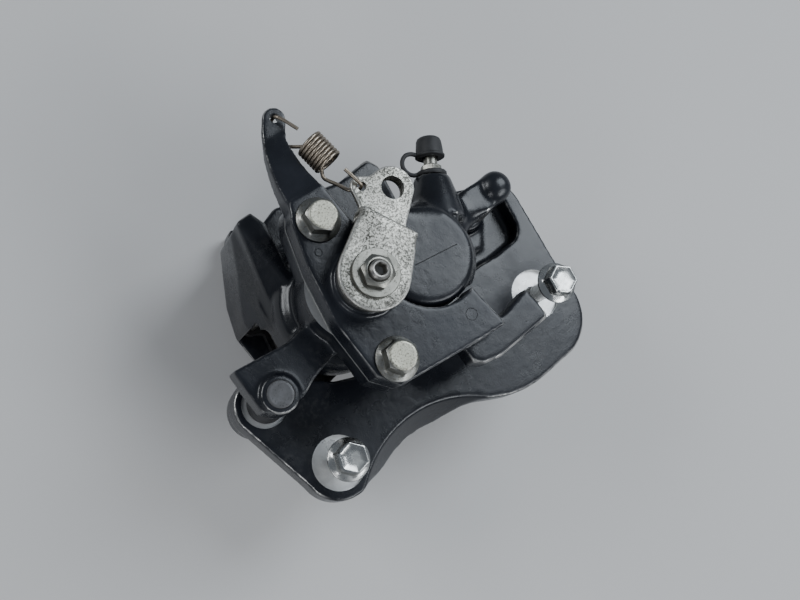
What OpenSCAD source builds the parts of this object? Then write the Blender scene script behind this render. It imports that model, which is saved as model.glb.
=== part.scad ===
// Rear disc brake caliper for a scooter or motorcycle: a sliding caliper with two hydraulic
// pistons, a cable-worked parking mechanism on its back, and the bracket that carries it.
// Z runs along the slide pins and the pistons. The bracket's mounting face is z = 0, the
// origin is midway between its two bolt holes, and +Y points away from the wheel's axle.

/* [Bracket] */
// Distance between the two mounting bolts
bolt_spacing = 120; // [116:1:124]
// Thickness of the bracket plate
bracket_t = 12; // [10:0.5:14]
// Radius of the hub clearance arc in the bracket
hub_r = 51.5; // [48:0.5:54]
// Radius of the machined seats under the mounting bolts
seat_r = 11.5; // [10:0.5:13]
// Depth of the machined seats below the plate's top
seat_depth = 2; // [1:0.5:3]
// Depth of the pocket around the long slide pin
pocket_depth = 9; // [6:0.5:9]

/* [Mounting bolts] */
// Thread diameter of every large bolt
bolt_d = 8; // [8:1:8]
// Length under the head of the mounting bolts
mount_bolt_l = 45; // [40:1:50]
// How far the left bolt stands up out of its seat
left_lift = 15.4; // [2:0.1:20]
// How far the right bolt stands up out of its seat
right_lift = 22.6; // [2:0.1:25]

/* [Disc and pads] */
// Diameter of the brake disc that runs in the slot
disc_d = 240; // [230:1:242]
// Thickness of the brake disc
disc_t = 5; // [4:0.5:5.5]
// Height of the disc's middle plane
disc_z = -16; // [-17:0.5:-15.5]
// Thickness of a new friction lining
lining_t = 6; // [4:0.5:6]
// Thickness of a pad's steel plate
plate_t = 4.5; // [4:0.5:5]

/* [Caliper body] */
// Piston diameter
piston_d = 25.4; // [24:0.1:26]
// Distance between the pistons
piston_pitch = 29.5; // [29:0.5:30]
// Angle of the piston row to the bracket
row_tilt = 12; // [10:0.5:14]
// Height of the face that the parking mechanism bolts to
joint_z = 50.4; // [49:0.1:51]
// Height of the free cylinder's round cap
cap_z = 60; // [57:0.5:60]
// Thickness of the outer jaw
jaw_t = 14; // [12:0.5:16]

/* [Parking mechanism] */
// Thickness of the mechanism's housing plate
housing_t = 11; // [10:0.5:12]
// Height of the lever plate's top
lever_z = 75; // [74:0.5:76]
// Thickness of the lever plate
lever_t = 3; // [2.5:0.5:3]
// Diameter of the hole for the cable's pin
cable_hole_d = 9.5; // [8:0.1:10]
// Wire diameter of the return spring
spring_wire = 1.5; // [1.2:0.1:1.6]
// Mean diameter of the return spring's coil
spring_d = 11; // [9:0.5:11]
// Number of turns of the return spring
spring_turns = 8; // [5:1:8]

/* [Hidden] */

$fn = 64;
eps = 0.01;

// Bracket
left_bolt = [-bolt_spacing / 2, 0];
right_bolt = [bolt_spacing / 2, 0];
hub_axis = [-27, -56];
bracket_corner = [55, -8];
corner_r = 22.7;
left_end_r = 15.5;
left_pin = [-69.5, 37.5];
left_boss_r = 12;
left_boss_low = -9;
right_pin = [60, 49];
right_boss_r = 9.5;
leg_low = -33;
seat_z = bracket_t - seat_depth;
pocket_z = bracket_t - pocket_depth;
bolt_hole_r = bolt_d / 2 + 0.25;

// Disc and pads, as heights along Z
disc_r = disc_d / 2;
run_gap = 0.3;
shim_t = 0.6;
inner_lining_z = disc_z + disc_t / 2 + run_gap;
inner_plate_z = inner_lining_z + lining_t;
inner_shim_z = inner_plate_z + plate_t;
inner_top_z = inner_shim_z + shim_t;
outer_lining_z = disc_z - disc_t / 2 - run_gap - lining_t;
outer_plate_z = outer_lining_z - plate_t;
outer_shim_z = outer_plate_z - shim_t;
jaw_top_z = outer_shim_z - 0.05;
jaw_z = jaw_top_z - jaw_t;

// Caliper frame: origin on the parking shaft's axis, X along the row of pistons
park_axis = [-22, 51];
row_x = [0, piston_pitch];
mouth_z = 6;
bore_r = piston_d / 2 + 0.05;
bore_top_z = 43;
piston_top_z = 31;
body_r = 21;
shoulder_r = 27;
shoulder_z = 28;
hub_local = [17.4, -105.7];
pad_pin_at = [-23.2, 12.6];
pad_pin_top = 11.5;
pad_pin_r = 2.5;
pad_ear_r = 4.4;
ear_top_z = 15;
crest_z = 29;
tongue_y = [4, 12];
retainer_top = -2.2;

// Slide pins
pin_r = 4.5;
fit = 0.05;
lug_low = 28;
lug_top = 40;
lug_ring_z = 42;
left_head_r = 5.7;
right_sleeve_low = 29;
right_dome_z = 48;
right_shoulder_z = 13;

// Bleed nipple: its axis lies level
bleed_at = [34.3, 63.9, 45];
bleed_dir = 54.3;
bleed_seat = 5.4;

// Hose port: place along the row and height, and distance of its mouth
port_at = [38, 28.5];
port_mouth = 24.5;
port_depth = 9.5;

// Parking mechanism
gasket_t = 0.6;
housing_z = joint_z + gasket_t;
housing_top = housing_z + housing_t;
arm_z = 51;
arm_t = 3.5;
arm_hole = [-4.5, 124];
upper_bolt = [-21.4, 80.5];
lower_bolt = [-31.4, 20.8];
shaft_r = 6;
tower_r = 13;
lever_low = lever_z - lever_t;
clevis_top = 66.5;
clevis_t = 2.5;
clevis_low_z = 60.7;
clevis_low_t = 2;
cable_hole = [9.8, 73.2];
tang_hole = [-0.3, 80.6];
washer_r = 9.5;
washer_t = 1.6;
nut_t = 3;
screw_top_z = 82;

// Colours
black_paint = [0.1, 0.11, 0.13];
zinc = [0.72, 0.71, 0.66];
steel = [0.6, 0.6, 0.6];
rubber = [0.06, 0.06, 0.06];
lining_c = [0.25, 0.22, 0.2];

// Points along an arc from angle a0 to a1 in n steps
function arc(c, r, a0, a1, n) =
    [for (i = [0:n]) c + r * [cos(a0 + (a1 - a0) * i / n), sin(a0 + (a1 - a0) * i / n)]];

// Point of the caliper frame in the bracket frame
function in_row(p) = park_axis + [
    p[0] * cos(row_tilt) + p[1] * sin(row_tilt),
    p[1] * cos(row_tilt) - p[0] * sin(row_tilt)
];

module row_frame() {
    translate([park_axis[0], park_axis[1], 0])
        rotate([0, 0, -row_tilt])
            children();
}

module bleed_frame() {
    translate(bleed_at)
        rotate([0, 0, bleed_dir])
            rotate([0, 90, 0])
                children();
}

// Prism of an outline between two heights
module slab(points, z0, z1) {
    translate([0, 0, z0])
        linear_extrude(z1 - z0)
            polygon(points);
}

module post(p, r, z0, z1) {
    translate([p[0], p[1], z0])
        cylinder(r = r, h = z1 - z0);
}

module ring(p, r_in, r_out, z0, z1) {
    difference() {
        post(p, r_out, z0, z1);
        post(p, r_in, z0 - 1, z1 + 1);
    }
}

// Hexagon head with its corners turned down, standing on z = 0
module hex_prism(across_flats, h, chamfer) {
    corner = across_flats / 2 / cos(30);
    intersection() {
        cylinder(r = corner, h = h, $fn = 6);
        rotate_extrude()
            polygon([[0, 0], [corner + 1, 0], [corner + 1, h - chamfer - 0.58],
                     [across_flats / 2 - 0.4, h], [0, h]]);
    }
}

// Flange bolt with its bearing face at z = 0 and its shank below; the thread starts after a
// plain length and a run-out
module flange_bolt(length, shank_free, run_out) {
    thread_from = -shank_free - run_out;
    rotate_extrude()
        polygon([[0, 0], [8.9, 0], [8.9, 1.2], [7.2, 2.4], [0, 2.4]]);
    difference() {
        translate([0, 0, 2])
            hex_prism(12, 6, 0.7);
        translate([0, 0, 7.6])
            cylinder(r = 4.9, h = 1);
    }
    rotate_extrude()
        polygon([[0, 1], [4, 1], [4, -shank_free], [3.75, -shank_free - 0.4],
                 [3.75, thread_from + 0.7], [3.85, thread_from], [3.85, 1 - length],
                 [3.2, -length], [0, -length]]);
}

module caliper_bracket() {
    outline = concat(
        arc(bracket_corner, corner_r, 8, -100, 18),
        [[42, -30.6], [34, -30.2], [27, -29], [20, -26.6], [13, -22.8], [7, -19.2], [0.5, -16.7],
         [-6.3, -15.5], [-13.6, -14.6]],
        arc(hub_axis, hub_r - 11.5, 76, 100, 6),
        [[-40, -14.6], [-47, -15.3]],
        arc(left_bolt, left_end_r, -72, -182, 16),
        arc(left_pin, left_boss_r + 0.6, 188, 40, 18),
        [[-55, 36], [-47, 33.5], [-40, 27.2], [-31, 23], [-22, 22.2], [-10, 21], [2, 19.4], [18, 21.2],
         [28, 27], [34, 36], [37, 56]],
        arc([45, 56], 8, 180, 90, 8),
        [[58, 62.5], [70, 57.5], [79, 50.5], [84.2, 44.5], [84.6, 41], [79.6, 8.4]]
    );
    pocket = concat(
        [[30, 27.2], [46.8, 26.4], [58, 24.8]],
        arc([66, 34], 9.6, -70, -15, 8),
        [[77.2, 41.1], [77.6, 53], [70, 70], [30, 70]]
    );
    leg = [[69.5, -3], [69.5, 21], [84, 21], [88, 8], [82, -3]];
    color(black_paint)
        difference() {
            union() {
                difference() {
                    slab(outline, 0, bracket_t);
                    slab(pocket, pocket_z, bracket_t + 1);
                }
                post(left_pin, left_boss_r, left_boss_low, bracket_t);
                post(right_pin, right_boss_r, pocket_z - 1, right_shoulder_z - 4);
                intersection() {
                    row_frame()
                        slab(leg, leg_low, pocket_z + 1);
                    post(in_row([76, 9]), 16, leg_low, pocket_z + 1);
                }
                row_frame()
                    for (y = [[-3, tongue_y[0] - 0.8], [tongue_y[1] + 0.8, 20]])
                        translate([61, y[0], leg_low])
                            cube([10, y[1] - y[0], pocket_z - leg_low + 1]);
            }
            // Hub clearance wall, wider towards the mounting face
            translate([hub_axis[0], hub_axis[1], -eps])
                cylinder(r1 = hub_r - 8, r2 = hub_r, h = bracket_t + 2 * eps, $fn = 96);
            for (p = [left_bolt, right_bolt]) {
                post(p, bolt_hole_r, -1, bracket_t + 1);
                post(p, seat_r, seat_z, bracket_t + 1);
            }
            post(left_pin, pin_r + fit, left_boss_low - 1, bracket_t + 1);
            post(left_pin, 9.5, bracket_t - 1, bracket_t + 1);
            post(right_pin, 4 + fit, leg_low - 1, right_shoulder_z);
        }
}

// Spring steel liner in which the pads' tongues slide
module pad_retainer() {
    wall = 0.5;
    color(steel)
        row_frame()
            difference() {
                translate([61.5, tongue_y[0] - 0.7, leg_low + 2])
                    cube([7.9, tongue_y[1] - tongue_y[0] + 1.4, retainer_top - leg_low - 2]);
                translate([61, tongue_y[0] - 0.7 + wall, leg_low])
                    cube([8.4 - wall, tongue_y[1] - tongue_y[0] + 1.4 - 2 * wall, 60]);
            }
}

// Mounting bolt lifted out of its seat; its full thread lies below the bracket
module mount_bolt(at, lift) {
    color(zinc)
        translate([at[0], at[1], seat_z + lift])
            flange_bolt(mount_bolt_l, 16, seat_z + lift + 0.6 - 16);
}

module mount_bolt_left() {
    mount_bolt(left_bolt, left_lift);
}

module mount_bolt_right() {
    mount_bolt(right_bolt, right_lift);
}

// Pin held in the caliper's lug and sliding in the bracket
module slide_pin_left() {
    color(zinc)
        translate([left_pin[0], left_pin[1], 0])
            rotate_extrude()
                polygon([[0, left_boss_low + 1.5], [pin_r - 1, left_boss_low + 1.5],
                         [pin_r, left_boss_low + 2.5], [pin_r, lug_low - 0.2],
                         [left_head_r - fit, lug_low - 0.2], [left_head_r - fit, lug_ring_z - 0.6],
                         [left_head_r - 0.8, lug_ring_z + 0.2], [0, lug_ring_z + 0.2]]);
}

// Bellows between two heights around a pin
module bellows(at, z0, z1, r_in, r_out, folds) {
    step = (z1 - z0) / folds;
    wall = 1.2;
    outer = [for (i = [0:folds - 1]) each [
        [r_out - 1.6, z0 + i * step],
        [r_out, z0 + (i + 0.35) * step],
        [r_out, z0 + (i + 0.65) * step]
    ]];
    inner = [for (i = [folds - 1:-1:0]) each [
        [r_out - wall, z0 + (i + 0.65) * step],
        [r_out - wall, z0 + (i + 0.35) * step],
        [r_in, z0 + i * step]
    ]];
    translate([at[0], at[1], 0])
        rotate_extrude()
            polygon(concat(outer, [[r_out - 1.6, z1], [r_in, z1]], inner));
}

module slide_boot_left() {
    color(rubber)
        bellows(left_pin, bracket_t - 1, lug_low - 0.2, pin_r + 0.3, 8, 3);
}

// Pin screwed into the bracket, on which the caliper's long sleeve slides
module slide_pin_right() {
    color(zinc) {
        translate([right_pin[0], right_pin[1], 0])
            rotate_extrude()
                polygon([[0, -12], [3.4, -12], [4, -11.4], [4, right_shoulder_z - 4],
                         [pin_r, right_shoulder_z - 4], [pin_r, 42], [pin_r - 1, 43], [0, 43]]);
        translate([right_pin[0], right_pin[1], right_shoulder_z - 4])
            hex_prism(13, 4, 0.5);
    }
}

module slide_boot_right() {
    color(rubber)
        bellows(right_pin, right_shoulder_z, right_sleeve_low - 0.2, pin_r + 0.3, 8, 3);
}

// Outline of the flange shared by the body, the gasket and the parking housing
function flange_outline(inset) = concat(
    [[-10.5 - inset, 91], [-25.5 + inset, 92.5], [-30.5 + inset, 85.9], [-36.8 + inset, 67.4],
     [-41.6 + inset, 45], [-42 + inset, 20.4], [-35.9 + inset, 11.8 + inset]],
    [[-8.9, 7.3 + inset], [14.4 - inset, 3.9 + inset], [12.6 - inset, 22.8]],
    arc(in_row([piston_pitch, 0]), body_r + 0.8 + inset, -74, -214, 22),
    [[-10 - inset, 62]]
);

// One cylinder of the body, turned about its piston's axis
module cylinder_casting(x, z_top, shoulder) {
    translate([x, 0, 0])
        rotate_extrude($fn = 96)
            polygon([[0, mouth_z], [shoulder - 1.5, mouth_z], [shoulder, mouth_z + 1.5],
                     [shoulder, shoulder_z - 4], [shoulder - 1.8, shoulder_z - 0.8],
                     [body_r, shoulder_z + 1.6], [body_r, z_top - 2], [body_r - 2, z_top], [0, z_top]]);
}

// Wall over the disc's edge that joins the cylinders to the outer jaw
module bridge_block() {
    top = concat(
        [[-31.8, 4], [-32.2, 12], [-30.4, 22], [-28.2, 31.5], [-25.6, 46], [-14.9, 48.6], [-11.5, 44.5],
         [-2.3, 49.5], [26.5, 47.4], [42.8, 52.1], [46.7, 47.1], [47, 24]],
        arc(hub_local, disc_r + 1, 77, 109, 10)
    );
    right_end = [[8, 30], [8, 48.8], [26.5, 47.4], [42.8, 52.1], [46.7, 47.1], [47, 24], [20, 26]];
    difference() {
        union() {
            slab(top, jaw_z, 14);
            slab([[-17.2, 44], [-14, 52], [-10.5, 57], [-4, 55], [-4, 44]], jaw_z, jaw_top_z);
            slab(right_end, 13, 22);
            slab([[-32, 3], [-32, 12], [-30.4, 22], [-28.2, 31.5], [-25.6, 46], [-14.9, 48.6], [-13, 43],
                  [-12, 8]], 13, 20);
        }
        // Outer wall leans in towards its top
        translate([-25, 0, 20])
            rotate([0, 18.8, 0])
                translate([-20, -10, -21])
                    cube([20, 70, 40]);
        // Recess in which the pad spring sits
        translate([-5, 10, outer_shim_z + 3])
            cube([38, 14, inner_shim_z - outer_shim_z - 4]);
    }
    // Crest with a ridge that runs slantwise over it
    difference() {
        slab([[-24.6, 46.5], [-23.3, 47.6], [-17.2, 48.7], [-13.4, 42], [-14, 13], [-16, 6],
              [-25.1, -2], [-25.1, 21]], 19, crest_z);
        translate([-24.5, 47, crest_z])
            rotate([0, 0, -76.35])
                rotate([45, 0, 0])
                    translate([-10, -40, 0])
                        cube([70, 40, 30]);
    }
}

module outer_jaw() {
    outline = [[-31.5, 6], [-24, -14], [-18, -18], [47, -18], [50, -12], [49.5, 24], [46, 44],
               [-24.5, 43.5]];
    difference() {
        slab(outline, jaw_z, jaw_top_z);
        for (x = row_x)
            translate([x, 0, jaw_z - 1])
                cylinder(r = 11, h = jaw_t + 2);
        for (x = row_x)
            translate([x - 7, -20, jaw_z - 1])
                cube([14, 20, jaw_t + 2]);
    }
}

// Cutter on the left of the line from p to q; its face leans out by the angle lean
module side_cut(p, q, lean) {
    translate([p[0], p[1], jaw_top_z])
        rotate([0, 0, atan2(q[1] - p[1], q[0] - p[0])])
            rotate([-lean, 0, 0])
                translate([-60, 0, -60])
                    cube([140, 40, 100]);
}

module caliper_body() {
    upper_ear = [[-20, -8], [-24, -4], [-27.5, 5], [-28, 14], [-27, 20], [-20, 20]];
    lower_ear = [[-22, -8], [-28, -3], [-31.5, 4], [-32.2, 10], [-31, 17], [-26, 20]];
    free_cylinder = in_row([piston_pitch, 0]);
    color(black_paint)
        difference() {
            union() {
                row_frame() {
                    difference() {
                        union() {
                            cylinder_casting(row_x[0], joint_z, shoulder_r);
                            cylinder_casting(row_x[1], cap_z, shoulder_r - 3);
                            bridge_block();
                            outer_jaw();
                            translate([-16, 8, mouth_z])
                                cube([58, 24, 14]);
                            translate([-25, -12, mouth_z])
                                cube([14, 32, 14]);
                            // Ears that hold the pad pin
                            slab(upper_ear, mouth_z, ear_top_z);
                            slab(lower_ear, jaw_z, jaw_top_z);
                        }
                        // Slot for the disc and the pads
                        translate([0, 0, jaw_top_z])
                            intersection() {
                                translate([hub_local[0], hub_local[1], 0])
                                    cylinder(r = disc_r + 4, h = mouth_z - jaw_top_z, $fn = 128);
                                translate([-60, -60, 0])
                                    cube([140, 140, mouth_z - jaw_top_z]);
                            }
                        post(pad_pin_at, pad_ear_r + 0.8, jaw_top_z, mouth_z);
                        // Outer wall leans in again below the disc
                        side_cut([-28.5, 24.7], [-21.6, 43.4], 11.5);
                        side_cut([-30.9, 10.1], [-28.5, 24.7], 13.8);
                        side_cut([-28.2, -1.9], [-30.9, 10.1], 16.9);
                    }
                }
                slab(flange_outline(0.6), 38, joint_z);
                // Shoulder on the free cylinder's outer side
                slab(concat(arc(free_cylinder, 23.2, -66, 70, 16), [free_cylinder]), 20, cap_z - 4.5);
                // Lug and arm of the left slide pin
                slab([[-78, 55.5], [-54, 51.5], [-36, 53], [-34, 38], [-54, 34], [-62, 31],
                      [-70, 32], [-79, 36]], lug_low, lug_top);
                post(left_pin, 7.8, lug_low, lug_ring_z);
                // Sleeve of the right slide pin and its rib
                translate([right_pin[0], right_pin[1], 0])
                    rotate_extrude()
                        polygon(concat([[0, right_sleeve_low], [7, right_sleeve_low]],
                                       [for (a = [0:15:60]) [7 * cos(a), right_dome_z - 5 + 5 * sin(a)]],
                                       [[2, right_dome_z], [0, right_dome_z]]));
                slab([[22, 50], [38, 57], [58, 55.5], [60, 43], [38, 42], [22, 30]], 31, 44);
                // Boss of the bleed nipple
                bleed_frame()
                    translate([0, 0, -14])
                        cylinder(r1 = 13.5, r2 = 7.4, h = 14 + bleed_seat);
                // Stop arm beside the hose port
                slab([[1, -1.5], [5, -5], [12, -7], [40.5, -7.6], [41.5, -6], [41.2, 7.8],
                      [24, 5.6], [18, 12], [2, 20]], 34, 44);
                // Boss of the hose port
                row_frame()
                    translate([port_at[0], -6, port_at[1]])
                        rotate([90, 0, 0])
                            cylinder(r = 8.5, h = port_mouth - 6);
            }
            row_frame() {
                for (x = row_x) {
                    post([x, 0], bore_r, mouth_z - 1, bore_top_z);
                    post([x, 0], bore_r + 1.8, 20, 23);
                    post([x, 0], bore_r + 1.6, 9, 13);
                }
                post([row_x[0], 0], 7, bore_top_z - 1, joint_z);
                post([row_x[0], 0], 10, 45.5, joint_z + 1);
                post(pad_pin_at, pad_pin_r + fit, jaw_z - 1, pad_pin_top + 0.5);
                translate([port_at[0], -port_mouth - eps, port_at[1]])
                    rotate([-90, 0, 0]) {
                        cylinder(r = 4.5, h = port_depth);
                        cylinder(r = 1.6, h = port_depth + 5);
                    }
            }
            for (p = [upper_bolt, lower_bolt])
                post(p, bolt_d / 2 + fit, joint_z - 14, joint_z + 1);
            // Relief in the free cylinder's wall for the parking shaft's tower
            post(park_axis, tower_r + 0.3, joint_z, cap_z + 1);
            post(left_pin, left_head_r, lug_low - 1, lug_ring_z + 1);
            post(right_pin, pin_r + fit, right_sleeve_low - 1, 45.5);
            bleed_frame()
                post([0, 0], 3.5 + fit, -8, bleed_seat + 1);
        }
}

module piston(x) {
    color(steel)
        row_frame()
            translate([x, 0, 0])
                rotate_extrude($fn = 96)
                    polygon([[0, 20], [9.5, 20], [9.5, inner_top_z + 0.02],
                             [piston_d / 2 - 0.6, inner_top_z + 0.02],
                             [piston_d / 2, inner_top_z + 0.6], [piston_d / 2, piston_top_z - 1],
                             [piston_d / 2 - 1, piston_top_z], [0, piston_top_z]]);
}

module piston_left() {
    piston(row_x[0]);
}

module piston_right() {
    piston(row_x[1]);
}

module piston_seals() {
    color(rubber)
        row_frame()
            for (x = row_x)
                ring([x, 0], bore_r, bore_r + 1.7, 20.1, 22.9);
}

module dust_seals() {
    color(rubber)
        row_frame()
            for (x = row_x)
                ring([x, 0], bore_r, bore_r + 1.5, 9.1, 12.9);
}

module bleed_screw() {
    color(zinc)
        bleed_frame()
            difference() {
                union() {
                    translate([0, 0, -7])
                        cylinder(r = 3.5, h = 7 + bleed_seat + 0.2);
                    translate([0, 0, bleed_seat + 0.1])
                        hex_prism(8, 5, 0.4);
                    translate([0, 0, bleed_seat + 5])
                        cylinder(r1 = 3, r2 = 2.6, h = 7);
                    translate([0, 0, bleed_seat + 11.5])
                        cylinder(r1 = 3.2, r2 = 2.6, h = 2.5);
                }
                cylinder(r = 1, h = 40);
            }
}

module bleed_cap() {
    strap_r = 4.8;
    color(rubber) {
        bleed_frame()
            rotate_extrude()
                polygon([[3.3, bleed_seat + 8.5], [5.8, bleed_seat + 8.5], [6.3, bleed_seat + 9.3],
                         [5.8, bleed_seat + 12.2], [5.2, bleed_seat + 16.4], [4.2, bleed_seat + 17.3],
                         [0, bleed_seat + 17.3], [0, bleed_seat + 15], [3.3, bleed_seat + 15]]);
        bleed_frame()
            rotate_extrude()
                polygon([[4.75, bleed_seat + 0.3], [6.4, bleed_seat + 0.3], [6.4, bleed_seat + 2.2],
                         [4.75, bleed_seat + 2.2]]);
        bleed_frame()
            translate([0, strap_r + 3.2, bleed_seat + 5.4])
                rotate([0, 90, 0])
                    translate([0, 0, -1.4])
                        difference() {
                            cylinder(r = strap_r, h = 2.8);
                            translate([0, 0, -1])
                                cylinder(r = strap_r - 1.5, h = 5);
                            translate([-strap_r, -strap_r - 2.6, -1])
                                cube([2 * strap_r, strap_r, 5]);
                        }
    }
}

// Pin that the pads hang on, between the jaw and the body
module pad_pin() {
    pin_low = jaw_z + 3;
    color(zinc)
        row_frame()
            translate([pad_pin_at[0], pad_pin_at[1], 0])
                rotate_extrude()
                    polygon([[0, pin_low], [pad_pin_r - 0.6, pin_low], [pad_pin_r, pin_low + 0.6],
                             [pad_pin_r, pad_pin_top], [0, pad_pin_top]]);
}

module pad_pin_plug() {
    color(zinc)
        row_frame()
            translate([pad_pin_at[0], pad_pin_at[1], jaw_z + 0.3])
                difference() {
                    cylinder(r = pad_pin_r, h = 2.4);
                    translate([0, 0, -1])
                        cylinder(r = 1.3, h = 2.2);
                }
}

// Outline of a pad: an arc-edged block
module pad_outline(r_in, r_out, x0, x1) {
    intersection() {
        translate(hub_local)
            difference() {
                circle(r = r_out, $fn = 160);
                circle(r = r_in, $fn = 160);
            }
        polygon([[x0 - 2, -60], [x0, 40], [x1, 40], [x1 + 2, -60]]);
    }
}

module pad_plate(z) {
    color(black_paint)
        row_frame()
            translate([0, 0, z])
                difference() {
                    union() {
                        linear_extrude(plate_t)
                            pad_outline(disc_r - 36, disc_r + 0.8, -19, 51);
                        slab([[49, -1], [49, tongue_y[1]], [68.2, tongue_y[1]], [68.2, tongue_y[0]],
                              [58, tongue_y[0]]], 0, plate_t);
                        slab([[-17, 5], [-23, 8.4], [-23, 14], [-17, 12.5]], 0, plate_t);
                        post(pad_pin_at, pad_ear_r, 0, plate_t);
                    }
                    translate([pad_pin_at[0], pad_pin_at[1], -1])
                        cylinder(r = pad_pin_r + 0.3, h = plate_t + 2);
                }
}

module pad_lining(z) {
    color(lining_c)
        row_frame()
            translate([0, 0, z])
                difference() {
                    linear_extrude(lining_t)
                        pad_outline(disc_r - 35, disc_r - 1, -17, 49);
                    // Groove that clears dust, open to the disc side
                    translate([14, -60, z < disc_z ? lining_t - 4 : -eps])
                        cube([3, 120, 4 + eps]);
                }
}

module pad_shim(z) {
    color(steel)
        row_frame()
            translate([0, 0, z])
                linear_extrude(shim_t)
                    pad_outline(disc_r - 34, disc_r - 2, -16, 48);
}

module inner_pad_plate() {
    pad_plate(inner_plate_z);
}

module inner_pad_lining() {
    pad_lining(inner_lining_z);
}

module inner_pad_shim() {
    pad_shim(inner_shim_z);
}

module outer_pad_plate() {
    pad_plate(outer_plate_z);
}

module outer_pad_lining() {
    pad_lining(outer_lining_z);
}

module outer_pad_shim() {
    pad_shim(outer_shim_z);
}

// Leaf that presses on the pads from under the bridge
module pad_spring() {
    low = outer_shim_z + 4;
    high = inner_shim_z - 2;
    color(steel)
        row_frame()
            slab([[-3.6, 17.6], [6, 16.8], [14, 20.6], [22, 16.8], [31.6, 17.6], [31.6, 18.2], [22, 17.4],
                  [14, 21.2], [6, 17.4], [-3.6, 18.2]], low, high);
}

module parking_gasket() {
    color(lining_c)
        difference() {
            union() {
                slab(flange_outline(0.3), joint_z, housing_z);
                post(park_axis, tower_r, joint_z, housing_z);
            }
            for (p = [upper_bolt, lower_bolt])
                post(p, bolt_d / 2 + 0.3, joint_z - 1, housing_z + 1);
            post(park_axis, 11, joint_z - 1, housing_z + 1);
        }
}

module parking_housing() {
    arm = concat(
        arc(arm_hole, 4.7, -42, 138, 12),
        [[-12.3, 122.2], [-18.4, 112.8], [-21.4, 107], [-24.4, 100.4], [-26.5, 94], [-28, 89]],
        [[-11, 88], [-10.6, 96.6], [-9.8, 102.8], [-8.2, 109.2], [-6.5, 114.4]]
    );
    // Side view of the arm: it slopes down to its tip
    arm_side = [[86, housing_z], [86, housing_top], [90, housing_top], [118, arm_z], [134, arm_z],
                [134, arm_z - arm_t], [114, arm_z - arm_t], [95, housing_z]];
    color(black_paint)
        difference() {
            union() {
                slab(flange_outline(0), housing_z, housing_top);
                intersection() {
                    slab(arm, arm_z - arm_t - 1, housing_top + 1);
                    translate([-60, 0, 0])
                        rotate([90, 0, 90])
                            linear_extrude(120)
                                polygon(arm_side);
                }
                post(park_axis, tower_r, housing_z, housing_top + 2);
            }
            for (p = [upper_bolt, lower_bolt])
                post(p, bolt_d / 2 + 0.3, housing_z - 1, housing_top + 1);
            post(park_axis, shaft_r + fit, housing_z - 1, housing_top + 3);
            post(park_axis, 11, housing_z - 1, housing_z + 4);
            post(park_axis, shaft_r + 2.3, housing_top - 2, housing_top + 3);
            post(arm_hole, 2, arm_z - arm_t - 1, arm_z + 1);
        }
}

module parking_bolts() {
    color(zinc)
        for (p = [upper_bolt, lower_bolt])
            translate([p[0], p[1], housing_top + 0.02])
                flange_bolt(22, 11, 2);
}

// Shaft turned by the lever, with a flange that drives the push rod
module parking_shaft() {
    color(steel)
        difference() {
            union() {
                post(park_axis, 10.6, housing_z - 0.4, housing_z + 3.6);
                post(park_axis, shaft_r, housing_z + 3, lever_low - 0.1);
                post(park_axis, shaft_r - 1, lever_low - 0.5, lever_z - 0.2);
            }
            post(park_axis, 4 + fit, housing_z - 1, lever_z + 1);
        }
}

module shaft_seal() {
    color(rubber)
        ring(park_axis, shaft_r + fit, shaft_r + 2.2, housing_top - 1.9, housing_top + 0.6);
}

module shaft_boot() {
    color(rubber)
        ring(park_axis, shaft_r + 0.4, 12.4, housing_top + 2.1, lever_low - 0.2);
}

// Rod that the shaft screws down onto the piston's head
module push_rod() {
    color(steel)
        translate([park_axis[0], park_axis[1], 0])
            rotate_extrude()
                polygon([[0, piston_top_z + 1.3], [5, piston_top_z + 1.3], [5, 46.8], [9, 46.8],
                         [9, 48.9], [0, 48.9]]);
}

module push_rod_guide() {
    color(steel)
        ring(park_axis, 5 + fit, 6.9, bore_top_z + 0.2, 45);
}

module parking_lever() {
    tear = concat(arc(park_axis, 14.3, 117.6, 310.8, 24), [[0.6, 51.6], [-10.4, 73.2]]);
    low_plate = concat(
        [[-12.8, 71.8], [-6.4, 74.8]],
        arc(tang_hole, 4.6, 180, 80, 8),
        [[5.1, 82.2]],
        arc(cable_hole, 9, 88, -42, 14),
        [[4.6, 58.6], [2.2, 56.2], [-9.6, 70]]
    );
    color(zinc)
        difference() {
            union() {
                slab(tear, lever_low, lever_z);
                slab([[-10.4, 73.2], [0.6, 51.6], [2.9, 52.8], [-8.1, 74.4]],
                     clevis_top - clevis_t, lever_z);
                slab(low_plate, clevis_top - clevis_t, clevis_top);
                slab(concat(arc(cable_hole, 8, -60, 110, 12), [[1, 75.5], [5, 64.5]]), clevis_low_z,
                     clevis_low_z + clevis_low_t);
                slab([[1, 75.5], [5, 64.5], [7, 65.3], [3, 76.3]], clevis_low_z, clevis_top);
            }
            post(cable_hole, cable_hole_d / 2, clevis_low_z - 1, clevis_top + 1);
            post(tang_hole, 1.9, clevis_low_z - 1, clevis_top + 1);
            post(park_axis, shaft_r - 1 + fit, lever_low - 1, lever_z + 1);
        }
}

module lever_washer() {
    color(zinc)
        ring(park_axis, 4.3, washer_r, lever_z + 0.02, lever_z + washer_t);
}

module adjuster_nut() {
    color(zinc)
        translate([park_axis[0], park_axis[1], lever_z + washer_t + 0.02])
            difference() {
                hex_prism(12, nut_t, 0.5);
                translate([0, 0, -1])
                    cylinder(r = 4 + fit, h = 20);
            }
}

module adjuster_screw() {
    color(zinc)
        difference() {
            translate([park_axis[0], park_axis[1], 0])
                rotate_extrude()
                    polygon([[0, 49.3], [4, 49.3], [4, screw_top_z - 0.7],
                             [3.3, screw_top_z], [0, screw_top_z]]);
            post(park_axis, 2, screw_top_z - 4, screw_top_z + 1);
        }
}

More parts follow.
